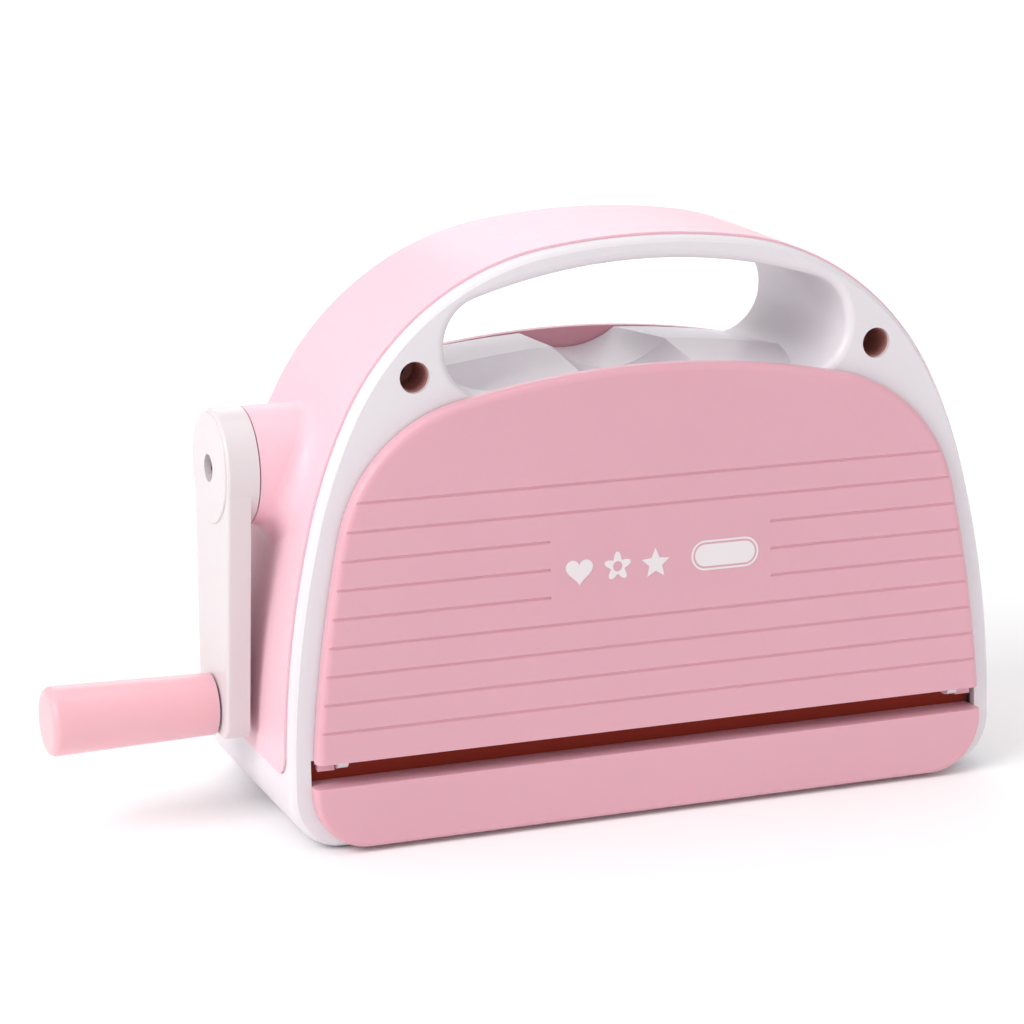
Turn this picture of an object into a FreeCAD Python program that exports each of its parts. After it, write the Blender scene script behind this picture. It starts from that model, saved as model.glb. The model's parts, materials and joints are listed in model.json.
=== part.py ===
import FreeCAD, Part
import math
import os
import Sketcher
from FreeCAD import Vector
from fcgear import fcgear, involute

# Hand-cranked portable die-cutting and embossing press.
# Frame: millimetres, +X to the right of the front face, +Y rearwards, +Z up.
# The origin is the centre of the base on the surface that the foot pad stands on.
# The crank is on the -X side. Front and rear faces lean towards each other.

doc = FreeCAD.newDocument("RollerPress")
sheet = doc.addObject("Spreadsheet::Sheet", "Dims")
size = {}


def dim(alias, value, note=""):
    """One driving dimension: name, plain number, note."""
    row = len(size) + 1
    sheet.set("A%d" % row, alias)
    sheet.set("B%d" % row, repr(value))
    sheet.set("C%d" % row, note)
    sheet.setAlias("B%d" % row, alias)
    size[alias] = value


# Body silhouette seen from the front
dim("base_depth", 94.0, "front panel plane to rear panel plane at z = 0")
dim("lean_slope", 0.0787, "inward lean of front and rear faces, y per z")
dim("shell_top", 172.0, "top of the arch cover")
dim("shell_bottom", -0.4)
dim("crown_rad", 215.0, "radius over the top")
dim("shoulder_rad", 84.0)
dim("flank_rad", 150.0)
dim("side_rad", 300.0)
dim("crown_z", 169.59, "height where the top radius meets the shoulder")
dim("shoulder_z", 124.06)
dim("flank_z", 94.59)
dim("foot_corner_rad", 17.0)
# Shell build-up
dim("cover_skin", 2.4, "thickness of the pink arch cover")
dim("frame_skin", 2.6, "wall of the white half frames")
dim("lip_step", 0.8, "how far the rim stands in from the cover")
dim("face_inset", 4.4, "white face behind the table plane")
dim("cover_inset", 8.6, "edge of the arch cover behind the table plane")
dim("cover_low", 22.0, "lower edge of the arch cover")
dim("cover_corner", 5.5, "rounding of its lower corners")
dim("foot_in", 98.0, "inner end of the flush foot bands")
dim("rim_round", 3.4)
# Carry handle opening
dim("grab_top", 164.7)
dim("grab_crown_rad", 184.0)
dim("grab_corner_rad", 14.0)
dim("grab_half", 64.4)
dim("grab_bottom", 128.0)
dim("mouth_round", 2.4)
dim("floor_rear", 132.6, "floor height at the rear face")
dim("floor_front", 130.6, "floor height at the front face")
dim("floor_crown", 330.0, "crowning of the floor")
dim("grab_floor", 135.0, "floor of the opening at mid depth and rear")
dim("scoop_rad", 25.7, "finger scoop across the floor")
dim("scoop_z", 152.2)
# Folding tables
dim("panel_top", 134.8)
dim("panel_low", 27.3, "lower edge of a closed table, and the feed level")
dim("panel_crown_rad", 280.0)
dim("panel_crown_z", 127.74)
dim("rear_top", 132.9, "the rear table stands a little lower")
dim("rear_crown_z", 125.84)
dim("rear_corner_z", 89.4)
dim("panel_corner_rad", 48.0)
dim("panel_corner_z", 91.3)
dim("panel_side_rad", 430.0)
dim("panel_gap", 0.3)
dim("groove_rad", 0.5)
dim("groove_first", 9.05, "lowest groove above the lower edge")
dim("groove_pitch", 8.21)
dim("knuckle_rad", 3.0)
dim("knuckle_in", 101.5)
dim("knuckle_out", 106.5)
dim("hinge_pin_rad", 1.0)
dim("hinge_pin_end", 107.6)
dim("lug_in", 97.8)
dim("lug_out", 101.0)
dim("lug_rad", 2.6)
dim("relief_half", 108.4)
# Sill under the feed gap
dim("sill_half", 108.4)
dim("sill_top", 20.2)
dim("sill_low", 1.4)
dim("sill_corner_rad", 16.5)
dim("ledge_skin", 2.5)
dim("bed_depth", 36.7, "half depth of the feed bed")
# Feed path and rollers
dim("feed_half", 78.0)
dim("feed_top", 44.0)
dim("plate_in", 80.0, "inner face of each side plate")
dim("plate_skin", 2.0)
dim("plate_half", 26.0)
dim("plate_top", 121.0)
dim("chassis_z", 4.6, "underside of the steel base plate")
dim("chassis_skin", 2.0)
dim("upper_z", 55.0)
dim("upper_rad", 14.0)
dim("lower_z", 19.4)
dim("lower_rad", 8.0)
dim("roller_half", 75.0)
dim("shaft_rad", 4.0)
dim("fit", 0.05, "radial running clearance of a shaft")
dim("bush_rad", 6.5)
dim("rod_rad", 3.0)
dim("rod_y", 20.0)
dim("rod_z", 80.0)
dim("rod_low_z", 14.0)
# Crank and grip
dim("crank_z", 106.0)
dim("hub_rad", 17.2)
dim("boss_face", 115.0)
dim("boss_flare", 6.0, "radius between boss and cover")
dim("disc_rad", 16.2, "raised disc on the hub")
dim("hub_face", 115.4)
dim("arm_face", 117.9)
dim("cap_face", 125.0)
dim("arm_throw", 71.6, "crank axis to grip axis")
dim("arm_top_half", 16.6)
dim("arm_low_half", 13.2)
dim("arm_drop", 8.4, "grip axis to the end of the arm")
dim("arm_corner", 5.5)
dim("recess_rad", 4.1, "screw recess in the hub")
dim("screw_head_rad", 3.3)
dim("grip_base_rad", 9.2)
dim("grip_end_rad", 10.3)
dim("grip_base", 125.7)
dim("grip_end", 175.5)
# Gears
dim("gear_out", 89.8)
dim("gear_in", 84.8)
dim("idler_y", 11.61)
dim("idler_z", 92.24)
# Foot pad and screws
dim("pad_half_x", 96.0)
dim("pad_half_y", 31.0)
dim("hole_x", 73.9)
dim("hole_z", 135.5)
dim("hole_rad", 4.6)
dim("gear_module", 1.5)
dim("pressure_angle", 25.0)
doc.recompute()

made = []


def ref(text):
    """Turn $name into a spreadsheet reference."""
    return str(text).replace("$", "Dims.")


def bind(obj, prop, text):
    obj.setExpression(prop, ref(text))
    return obj


def place(obj, x="0", y="0", z="0", axis=None, angle=None):
    if axis is not None:
        obj.Placement = FreeCAD.Placement(Vector(0, 0, 0), FreeCAD.Rotation(Vector(*axis), angle))
    bind(obj, "Placement.Base.x", x)
    bind(obj, "Placement.Base.y", y)
    bind(obj, "Placement.Base.z", z)
    return obj


def box(name, x0, x1, y0, y1, z0, z1):
    b = doc.addObject("Part::Box", name)
    bind(b, "Length", "(%s)-(%s)" % (x1, x0))
    bind(b, "Width", "(%s)-(%s)" % (y1, y0))
    bind(b, "Height", "(%s)-(%s)" % (z1, z0))
    return place(b, x0, y0, z0)


def rod(name, direction, rad, start, end, u, v):
    """Cylinder along x, y or z from start to end; u, v are the other two coordinates."""
    c = doc.addObject("Part::Cylinder", name)
    bind(c, "Radius", rad)
    bind(c, "Height", "(%s)-(%s)" % (end, start))
    if direction == "x":
        return place(c, start, u, v, (0, 1, 0), 90)
    if direction == "y":
        return place(c, u, start, v, (1, 0, 0), -90)
    return place(c, u, v, start)


def lean_block(name, x0, x1, z0, z1, front, rear):
    """Block between two planes. A plane is (offset text, 'lean' sign): y = offset + sign * slope * z."""
    w = doc.addObject("Part::Wedge", name)
    w.Placement = FreeCAD.Placement(Vector(0, 0, 0), FreeCAD.Rotation(Vector(1, 0, 0), 90))
    # local y is world z and local z is world -y
    def at(plane, z):
        return "(%s)+(%s)*$lean_slope*(%s)" % (plane[0], plane[1], z)
    bind(w, "Xmin", x0), bind(w, "Xmax", x1), bind(w, "X2min", x0), bind(w, "X2max", x1)
    bind(w, "Ymin", z0), bind(w, "Ymax", z1)
    bind(w, "Zmin", "-(%s)" % at(rear, z0)), bind(w, "Zmax", "-(%s)" % at(front, z0))
    bind(w, "Z2min", "-(%s)" % at(rear, z1)), bind(w, "Z2max", "-(%s)" % at(front, z1))
    return w


def front_plane(inset):
    return ("-$base_depth/2+(%s)" % inset, 1)


def rear_plane(inset):
    return ("$base_depth/2-(%s)" % inset, -1)


MID = ("0", 0)


def cut(name, base, *tools):
    for i, t in enumerate(tools):
        c = doc.addObject("Part::Cut", name if i == len(tools) - 1 else "%s_%d" % (name, i))
        c.Base, c.Tool = base, t
        base = c
    return base


def fuse(name, *shapes):
    f = doc.addObject("Part::MultiFuse", name)
    f.Shapes = list(shapes)
    f.Refine = True
    return f


def common(name, *shapes):
    f = doc.addObject("Part::MultiCommon", name)
    f.Shapes = list(shapes)
    return f


def mirror(name, src, normal):
    m = doc.addObject("Part::Mirroring", name)
    m.Source = src
    m.Normal = Vector(*normal)
    return m


def prism(name, profile, y0="-70", y1="70"):
    """Profile in the XZ plane pushed through along Y."""
    e = doc.addObject("Part::Extrusion", name)
    e.Base = profile
    e.DirMode = "Custom"
    e.Dir = Vector(0, 1, 0)
    e.Solid = True
    bind(e, "LengthFwd", y1)
    bind(e, "LengthRev", "-(%s)" % y0)
    return e


def offset(name, profile, text):
    o = doc.addObject("Part::Offset2D", name)
    o.Source = profile
    bind(o, "Value", text)
    return o


def round_edges(name, base, rad, test):
    """Fillet on the edges for which test(edge) is true."""
    doc.recompute()
    f = doc.addObject("Part::Fillet", name)
    f.Base = base
    f.Edges = [(i + 1, rad, rad) for i, e in enumerate(base.Shape.Edges) if test(e)]
    doc.recompute()
    if not f.Edges or not f.Shape.isValid() or f.Shape.isNull():
        raise RuntimeError("edge rounding failed: " + name)
    return f


def node(obj, label):
    obj.Label = label
    made.append((obj, label))
    return obj


XZ = FreeCAD.Placement(Vector(0, 0, 0), FreeCAD.Rotation(Vector(1, 0, 0), 90))


def arch(name, top, crown, bottom, arcs, corner=None):
    """Symmetric closed outline: crown arc, then arcs [(radius, end height)], a straight flank and a flat
    bottom with optional rounded corners. Every radius and height is bound to the sheet."""
    s = doc.addObject("Sketcher::SketchObject", name)
    s.Placement = XZ
    R0, z0 = size[crown[0]], size[crown[1]]
    cz = size[top] - R0
    a = math.acos((z0 - cz) / R0)          # heading below horizontal
    x, z = R0 * math.sin(a), z0
    pts = [(x, z)]
    data = []
    for i, (rad, end) in enumerate(arcs):
        r = size[rad]
        cx, cz2 = x - r * math.sin(a), z - r * math.cos(a)
        if end is None:
            b = math.pi / 2
        else:
            b = math.acos((size[end] - cz2) / r)
        data.append((r, cx, cz2, a, b))
        x, z, a = cx + r * math.sin(b), cz2 + r * math.cos(b), b
        pts.append((x, z))
    zb = size[bottom]
    con = Sketcher.Constraint
    geo = []

    def arc(cx, cz_, r, a0, a1):
        return s.addGeometry(Part.ArcOfCircle(Part.Circle(Vector(cx, cz_, 0), Vector(0, 0, 1), r), a0, a1), False)

    h = math.pi / 2
    ac = math.acos((z0 - cz) / R0)
    top_arc = arc(0, cz, R0, h - ac, h + ac)             # start right, end left
    right, left = [], []
    for (r, cx, cz2, a0, a1) in data:
        right.append(arc(cx, cz2, r, h - a1, h - a0))    # end is the upper point
        left.append(arc(-cx, cz2, r, h + a0, h + a1))    # start is the upper point
    xe, ze = pts[-1]
    s.addConstraint(con("PointOnObject", top_arc, 3, -2))
    s.addConstraint(con("Symmetric", top_arc, 1, top_arc, 2, -2))
    s.addConstraint(con("Radius", top_arc, R0))
    bind(s, "Constraints[%d]" % (s.ConstraintCount - 1), "$" + crown[0])
    s.addConstraint(con("DistanceY", -1, 1, top_arc, 3, cz))
    bind(s, "Constraints[%d]" % (s.ConstraintCount - 1), "$%s-$%s" % (top, crown[0]))
    s.addConstraint(con("DistanceY", -1, 1, top_arc, 1, z0))
    bind(s, "Constraints[%d]" % (s.ConstraintCount - 1), "$" + crown[1])
    pr, pl = (top_arc, 1), (top_arc, 2)
    for i, (rad, end) in enumerate(arcs):
        s.addConstraint(con("Tangent", right[i], 2, pr[0], pr[1]))
        s.addConstraint(con("Tangent", left[i], 1, pl[0], pl[1]))
        s.addConstraint(con("Radius", right[i], size[rad]))
        bind(s, "Constraints[%d]" % (s.ConstraintCount - 1), "$" + rad)
        s.addConstraint(con("Equal", right[i], left[i]))
        if end is not None:
            s.addConstraint(con("DistanceY", -1, 1, right[i], 1, size[end]))
            bind(s, "Constraints[%d]" % (s.ConstraintCount - 1), "$" + end)
            s.addConstraint(con("DistanceY", -1, 1, left[i], 2, size[end]))
            bind(s, "Constraints[%d]" % (s.ConstraintCount - 1), "$" + end)
        pr, pl = (right[i], 1), (left[i], 2)
    if corner:
        rc = size[corner]
        lr = s.addGeometry(Part.LineSegment(Vector(xe, ze, 0), Vector(xe, zb + rc, 0)), False)
        ll = s.addGeometry(Part.LineSegment(Vector(-xe, ze, 0), Vector(-xe, zb + rc, 0)), False)
        cr = arc(xe - rc, zb + rc, rc, -h, 0)
        cl = arc(-xe + rc, zb + rc, rc, 2 * h, 3 * h)
        bt = s.addGeometry(Part.LineSegment(Vector(xe - rc, zb, 0), Vector(-xe + rc, zb, 0)), False)
        s.addConstraint(con("Tangent", lr, 1, pr[0], pr[1]))
        s.addConstraint(con("Vertical", lr))
        s.addConstraint(con("Tangent", ll, 1, pl[0], pl[1]))
        s.addConstraint(con("Vertical", ll))
        s.addConstraint(con("Tangent", cr, 2, lr, 2))
        s.addConstraint(con("Tangent", cl, 1, ll, 2))
        s.addConstraint(con("Tangent", bt, 1, cr, 1))
        s.addConstraint(con("Coincident", bt, 2, cl, 2))
        s.addConstraint(con("Radius", cr, rc))
        bind(s, "Constraints[%d]" % (s.ConstraintCount - 1), "$" + corner)
        s.addConstraint(con("Equal", cr, cl))
        s.addConstraint(con("Horizontal", bt))
        s.addConstraint(con("DistanceY", -1, 1, bt, 1, zb))
        bind(s, "Constraints[%d]" % (s.ConstraintCount - 1), "$" + bottom)
    else:
        bt = s.addGeometry(Part.LineSegment(Vector(xe, ze, 0), Vector(-xe, ze, 0)), False)
        s.addConstraint(con("Coincident", bt, 1, pr[0], pr[1]))
        s.addConstraint(con("Coincident", bt, 2, pl[0], pl[1]))
    doc.recompute()
    if "Invalid" in s.State or not s.Shape.isValid():
        raise RuntimeError("outline failed: " + name)
    return s


# ---------------------------------------------------------------- outlines
shell = arch("shell_outline", "shell_top", ("crown_rad", "crown_z"), "shell_bottom",
             [("shoulder_rad", "shoulder_z"), ("flank_rad", "flank_z"), ("side_rad", None)],
             "foot_corner_rad")
panel = arch("panel_outline", "panel_top", ("panel_crown_rad", "panel_crown_z"), "panel_low",
             [("panel_corner_rad", "panel_corner_z"), ("panel_side_rad", "panel_low")])

# Carry opening: shallow crown, round ends
dim("grab_crown_z", 158.9)
doc.recompute()
grab = doc.addObject("Sketcher::SketchObject", "grab_outline")
grab.Placement = XZ


def grab_sketch(s):
    """Crown arc, two corner arcs to the vertical tangent, lower corners and a flat bottom."""
    con = Sketcher.Constraint
    rc, hw, zb = size["grab_corner_rad"], size["grab_half"], size["grab_bottom"]
    R0 = size["grab_crown_rad"]
    cz = size["grab_top"] - R0
    cx = hw - rc
    # the corner circle touches the crown from inside
    k = math.sqrt((R0 - rc) ** 2 - cx ** 2)
    zc = cz + k
    a = math.atan2(cx, k)
    h = math.pi / 2

    def arc(x, z, r, a0, a1):
        return s.addGeometry(Part.ArcOfCircle(Part.Circle(Vector(x, z, 0), Vector(0, 0, 1), r), a0, a1), False)

    top = arc(0, cz, R0, h - a, h + a)
    ur = arc(cx, zc, rc, 0, h - a)
    ul = arc(-cx, zc, rc, h + a, 2 * h)
    vr = s.addGeometry(Part.LineSegment(Vector(hw, zc, 0), Vector(hw, zb + rc, 0)), False)
    vl = s.addGeometry(Part.LineSegment(Vector(-hw, zc, 0), Vector(-hw, zb + rc, 0)), False)
    dr = arc(cx, zb + rc, rc, -h, 0)
    dl = arc(-cx, zb + rc, rc, 2 * h, 3 * h)
    bt = s.addGeometry(Part.LineSegment(Vector(cx, zb, 0), Vector(-cx, zb, 0)), False)
    s.addConstraint(con("PointOnObject", top, 3, -2))
    s.addConstraint(con("Radius", top, R0))
    bind(s, "Constraints[%d]" % (s.ConstraintCount - 1), "$grab_crown_rad")
    s.addConstraint(con("DistanceY", -1, 1, top, 3, cz))
    bind(s, "Constraints[%d]" % (s.ConstraintCount - 1), "$grab_top-$grab_crown_rad")
    s.addConstraint(con("Tangent", ur, 2, top, 1))
    s.addConstraint(con("Tangent", ul, 1, top, 2))
    s.addConstraint(con("Radius", ur, rc))
    bind(s, "Constraints[%d]" % (s.ConstraintCount - 1), "$grab_corner_rad")
    for g in (ul, dr, dl):
        s.addConstraint(con("Equal", ur, g))
    s.addConstraint(con("Tangent", vr, 1, ur, 1))
    s.addConstraint(con("Tangent", vl, 1, ul, 2))
    s.addConstraint(con("Vertical", vr))
    s.addConstraint(con("Vertical", vl))
    s.addConstraint(con("DistanceX", -1, 1, vr, 1, hw))
    bind(s, "Constraints[%d]" % (s.ConstraintCount - 1), "$grab_half")
    s.addConstraint(con("DistanceX", vl, 1, -1, 1, hw))
    bind(s, "Constraints[%d]" % (s.ConstraintCount - 1), "$grab_half")
    s.addConstraint(con("Tangent", dr, 2, vr, 2))
    s.addConstraint(con("Tangent", dl, 1, vl, 2))
    s.addConstraint(con("Tangent", bt, 1, dr, 1))
    s.addConstraint(con("Coincident", bt, 2, dl, 2))
    s.addConstraint(con("Horizontal", bt))
    s.addConstraint(con("DistanceY", -1, 1, bt, 1, zb))
    bind(s, "Constraints[%d]" % (s.ConstraintCount - 1), "$grab_bottom")


grab_sketch(grab)
doc.recompute()

# ---------------------------------------------------------------- white half frames
outer = prism("frame_outer", offset("frame_outer_line", shell, "-$cover_skin"))
lip = prism("lip_outer", offset("lip_line", shell, "-$lip_step"))
hollow = prism("hollow_core", offset("hollow_line", shell, "-$cover_skin-$frame_skin"))
liner = prism("grab_liner", offset("grab_liner_line", grab, "$frame_skin"))
grab_hole = prism("grab_hole", grab)

doc.recompute()
cover_seat = lean_block("cover_seat", "-130", "130", "$cover_low-0.15", "60",
                        front_plane("$cover_inset-0.15"), rear_plane("$cover_inset-0.15"))
blank = common("frame_blank", outer,
               lean_block("frame_span", "-130", "130", "-5", "180", front_plane("$face_inset"), MID))
rim_raw = common("rim_raw", lip,
                 lean_block("rim_span", "-130", "130", "-5", "180",
                            front_plane("$face_inset"), front_plane("$cover_inset-0.1")))


def on_front(inset):
    """Edges that lie wholly on the leaning front plane at this inset."""
    def test(e):
        for t in range(5):
            p = e.valueAt(e.FirstParameter + (e.LastParameter - e.FirstParameter) * t / 4.0)
            y = -size["base_depth"] / 2 + inset + size["lean_slope"] * p.z
            if abs(p.y - y) > 1e-3:
                return False
        return True
    return test




def low_corners(z, inset):
    """The two long lower edges of a leaning block."""
    def test(e):
        for t in range(3):
            p = e.valueAt(e.FirstParameter + (e.LastParameter - e.FirstParameter) * t / 2.0)
            y = -size["base_depth"] / 2 + inset + size["lean_slope"] * z
            if abs(p.z - z) > 1e-3 or abs(abs(p.y) + y) > 1e-3:
                return False
        return True
    return test


rim = round_edges("rim_rounded", rim_raw, size["rim_round"], on_front(size["face_inset"]))
seat = round_edges("cover_seat_round", cover_seat, size["cover_corner"],
                   low_corners(size["cover_low"] - 0.15, size["cover_inset"] - 0.15))
foot_raw = common("foot_band_raw", lip, lean_block("foot_span", "-130", "130", "-5", "$cover_low+6",
                                                   front_plane("$cover_inset-0.2"), MID),
                  fuse("foot_ends", box("foot_end_r", "$foot_in", "130", "-60", "10", "-5", "60"),
                       box("foot_end_l", "-130", "-$foot_in", "-60", "10", "-5", "60")))
foot_band = cut("foot_band", foot_raw, seat)
core_span = lean_block("core_span", "-130", "130", "-5", "180", front_plane("$face_inset+$frame_skin"), ("1", 0))
core = cut("frame_core", common("core_raw", hollow, core_span), liner)


def crowned_floor(name, low):
    """Round-backed solid whose top is the floor, falling towards -Y to this height at 30 mm."""
    fall = "(($grab_floor-$%s)/30)" % low
    tilt = math.degrees(math.atan((size["grab_floor"] - size[low]) / 30.0))
    c = doc.addObject("Part::Cylinder", name)
    bind(c, "Radius", "$floor_crown")
    bind(c, "Height", "220")
    place(c, "0", "100", "$grab_floor+100*" + fall + "-$floor_crown*sqrt(1+" + fall + "^2)", (1, 0, 0), 90 + tilt)
    return c


def scoop(name, tilt):
    c = doc.addObject("Part::Cylinder", name + "_drum")
    bind(c, "Radius", "$scoop_rad")
    bind(c, "Height", "80")
    place(c, "0", "0.5", "$scoop_z+$scoop_rad*%.6f" % (1 / math.cos(math.radians(tilt)) - 1), (1, 0, 0), 90 + tilt)
    return common(name, c, box(name + "_span", "-30", "30", "-80", "1", "$grab_bottom-20", "$grab_floor+4"))


liner_in = prism("grab_liner_fill", offset("grab_fill_line", grab, "$frame_skin-0.05"))
ramp = common("ramp_fill", liner_in, crowned_floor("front_floor", "floor_front"),
              lean_block("ramp_span", "-90", "90", "100", "150", front_plane("$face_inset"), MID))
scoop_pad = lean_block("scoop_pad", "-20", "20", "$grab_bottom-14", "$grab_bottom+2",
                       front_plane("$face_inset"), MID)
ramp_tilt = math.degrees(math.atan((size["grab_floor"] - size["floor_front"]) / 30.0))

front_hole = cut("front_opening", grab_hole, ramp)
front_body = fuse("front_shell", cut("front_shell_raw", fuse("front_solid", blank, rim, foot_band), core, front_hole),
                  cut("scoop_pad_low", scoop_pad, front_hole), ramp)
feed_gate = box("feed_gate", "-$feed_half", "$feed_half", "-60", "-10", "$panel_low-0.5", "$feed_top")
sill_gate = box("sill_gate", "-$relief_half", "$relief_half", "-60", "-10",
                "$sill_top-$ledge_skin-0.2", "$panel_low+0.3")


def left_gate(name):
    """Round way through the left wall for the crank bearing."""
    return rod(name, "x", "8", "-130", "-80", "0", "$crank_z")


def knuckle_gate(name, side):
    a, b = "$knuckle_in-0.4", "$knuckle_out+0.6"
    x0, x1 = (a, b) if side > 0 else ("-(%s)" % b, "-(%s)" % a)
    y = "-$base_depth/2+$face_inset+$lean_slope*$panel_low"
    return box(name, x0, x1, "-60", y + "+$knuckle_rad+0.8",
               "$panel_low-$knuckle_rad-0.8", "$panel_low+$knuckle_rad+0.8")


hinge_y = "-$base_depth/2+$face_inset+$lean_slope*$panel_low"
relief = box("table_relief", "-$relief_half", "$relief_half", "-60", hinge_y + "+1.3", "$sill_top-0.4",
             "$panel_low+0.3")


def lug(name, side):
    """Ear that carries the inner end of a hinge pin."""
    x0, x1 = ("$lug_in", "$lug_out") if side > 0 else ("-$lug_out", "-$lug_in")
    eye = rod(name + "_eye", "x", "$lug_rad", x0, x1, hinge_y, "$panel_low")
    foot = box(name + "_foot", x0, x1, hinge_y + "+0.7", hinge_y + "+3.4", "$panel_low-$lug_rad",
               "$panel_low+5")
    return fuse(name, eye, foot)


pin_holes = rod("front_pin_hole", "x", "$hinge_pin_rad", "-$hinge_pin_end", "$hinge_pin_end",
                hinge_y, "$panel_low")


def screw_hole(name, side):
    x = "%d*$hole_x" % side
    deep = rod(name + "_deep", "y", "$hole_rad", "-60", "-14", x, "$hole_z")
    thin = rod(name + "_thin", "y", "1.9", "-20", "10", x, "$hole_z")
    return fuse(name, deep, thin)


def screw_tower(name, side, y0, y1):
    """Boss round a frame screw, trimmed to the leaning face."""
    x = "%d*$hole_x" % side
    return rod(name, "y", "$hole_rad+2.2", y0, y1, x, "$hole_z")


span_in = lean_block("tower_span", "-130", "130", "0", "180", front_plane("$face_inset+0.4"), MID)
towers = common("front_towers", fuse("front_tower_pair", screw_tower("front_tower_r", 1, "-40", "0"),
                                     screw_tower("front_tower_l", -1, "-40", "0")), span_in)


def mouth_edges(e):
    """Front rim of the carry opening."""
    if not on_front(size["face_inset"])(e):
        return False
    for t in range(5):
        p = e.valueAt(e.FirstParameter + (e.LastParameter - e.FirstParameter) * t / 4.0)
        if abs(p.x) > size["grab_half"] + 0.5 or not size["grab_bottom"] - 0.5 < p.z < size["grab_top"] + 0.5:
            return False
    return True


mouth_block = lean_block("mouth_block", "-90", "90", "110", "175", front_plane("$face_inset"),
                         front_plane("$face_inset+8"))
mouth_ring = round_edges("mouth_ring", cut("mouth_ring_raw", mouth_block, grab_hole), size["mouth_round"],
                         mouth_edges)
mouth = fuse("mouth", cut("mouth_flare", mouth_block, mouth_ring), grab_hole)
front_open = cut("front_no_scoop", fuse("front_with_towers", front_body, towers),
                 cut("front_hole_again", mouth, ramp))

front_frame = cut("front_frame_body", front_open,
                  scoop("front_scoop", ramp_tilt), feed_gate, sill_gate,
                  knuckle_gate("knuckle_gate_r", 1), knuckle_gate("knuckle_gate_l", -1), pin_holes,
                  screw_hole("screw_hole_r", 1), screw_hole("screw_hole_l", -1), relief, left_gate("front_crank_gate"))
front_frame = cut("front_frame_piece", fuse("front_frame_lugs", front_frame, lug("lug_fr", 1), lug("lug_fl", -1)),
                  pin_holes)
node(front_frame, "front_frame")

# Rear half: the same mould with a floor that falls less and blind screw towers
rear_fill = common("rear_fill", liner_in, crowned_floor("rear_floor", "floor_rear"),
                   lean_block("rear_fill_span", "-90", "90", "$grab_bottom-12", "150",
                              front_plane("$face_inset"), MID))
rear_body = fuse("rear_shell", cut("rear_shell_raw", fuse("rear_solid", blank, rim, foot_band), core,
                                   cut("rear_opening", grab_hole, rear_fill)), rear_fill,
                 cut("rear_scoop_pad", scoop_pad, grab_hole))
rear_towers = common("rear_towers", fuse("rear_tower_pair", screw_tower("rear_tower_r", 1, "-40", "0"),
                                         screw_tower("rear_tower_l", -1, "-40", "0")), span_in)
rear_open = cut("rear_open", fuse("rear_with_towers", rear_body, rear_towers),
                cut("rear_hole_again", mouth, rear_fill))
rear_cut = cut("rear_cut", rear_open,
               scoop("rear_scoop", 0), feed_gate, sill_gate,
               knuckle_gate("rear_knuckle_r", 1), knuckle_gate("rear_knuckle_l", -1), pin_holes, relief,
               left_gate("rear_crank_gate"),
               rod("rear_screw_r", "y", "1.3", "-14", "10", "$hole_x", "$hole_z"),
               rod("rear_screw_l", "y", "1.3", "-14", "10", "-$hole_x", "$hole_z"))
rear_piece = cut("rear_frame_piece", fuse("rear_frame_lugs", rear_cut, lug("lug_rr", 1), lug("lug_rl", -1)),
                 pin_holes)
node(mirror("rear_frame_body", rear_piece, (0, 1, 0)), "rear_frame")

# ---------------------------------------------------------------- pink arch cover with crank boss
cover_span = lean_block("cover_span", "-130", "130", "$cover_low", "180",
                        front_plane("$cover_inset"), rear_plane("$cover_inset"))
doc.recompute()
cover_field = round_edges("cover_field", cover_span, size["cover_corner"],
                          low_corners(size["cover_low"], size["cover_inset"]))
cover_ring = common("cover_ring", cut("cover_hoop", prism("cover_outer", shell), outer), cover_field)
boss_span = prism("boss_span", offset("boss_line", shell, "-$cover_skin"))
boss = cut("crank_boss", rod("boss_stub", "x", "$hub_rad", "-$boss_face", "-90", "0", "$crank_z"), boss_span)
cover_union = fuse("cover_with_boss", cover_ring, boss)
doc.recompute()


def boss_root(e):
    """The closed curve where the boss meets the outer skin of the cover."""
    for t in range(9):
        p = e.valueAt(e.FirstParameter + (e.LastParameter - e.FirstParameter) * t / 8.0)
        if abs(math.hypot(p.y, p.z - size["crank_z"]) - size["hub_rad"]) > 0.02:
            return False
        if p.x < -size["boss_face"] + 1.0 or p.x > -90.0:
            return False
    return e.Length > 5.0


cover_flared = round_edges("cover_flared", cover_union, size["boss_flare"], boss_root)
cover_bore = rod("cover_bore", "x", "7.5", "-130", "-80", "0", "$crank_z")
node(cut("arch_cover_body", cover_flared, cover_bore), "arch_cover")


# ---------------------------------------------------------------- folding tables
panel_prism = prism("panel_prism", panel)
slab = common("panel_slab", panel_prism,
              lean_block("panel_span", "-130", "130", "0", "180", front_plane("0"),
                         front_plane("$face_inset-$panel_gap")))


def panel_front_edges(e):
    if not on_front(0.0)(e):
        return False
    zs = [e.valueAt(e.FirstParameter + (e.LastParameter - e.FirstParameter) * t / 4.0).z for t in range(5)]
    return max(zs) > size["panel_low"] + 1.0


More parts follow.
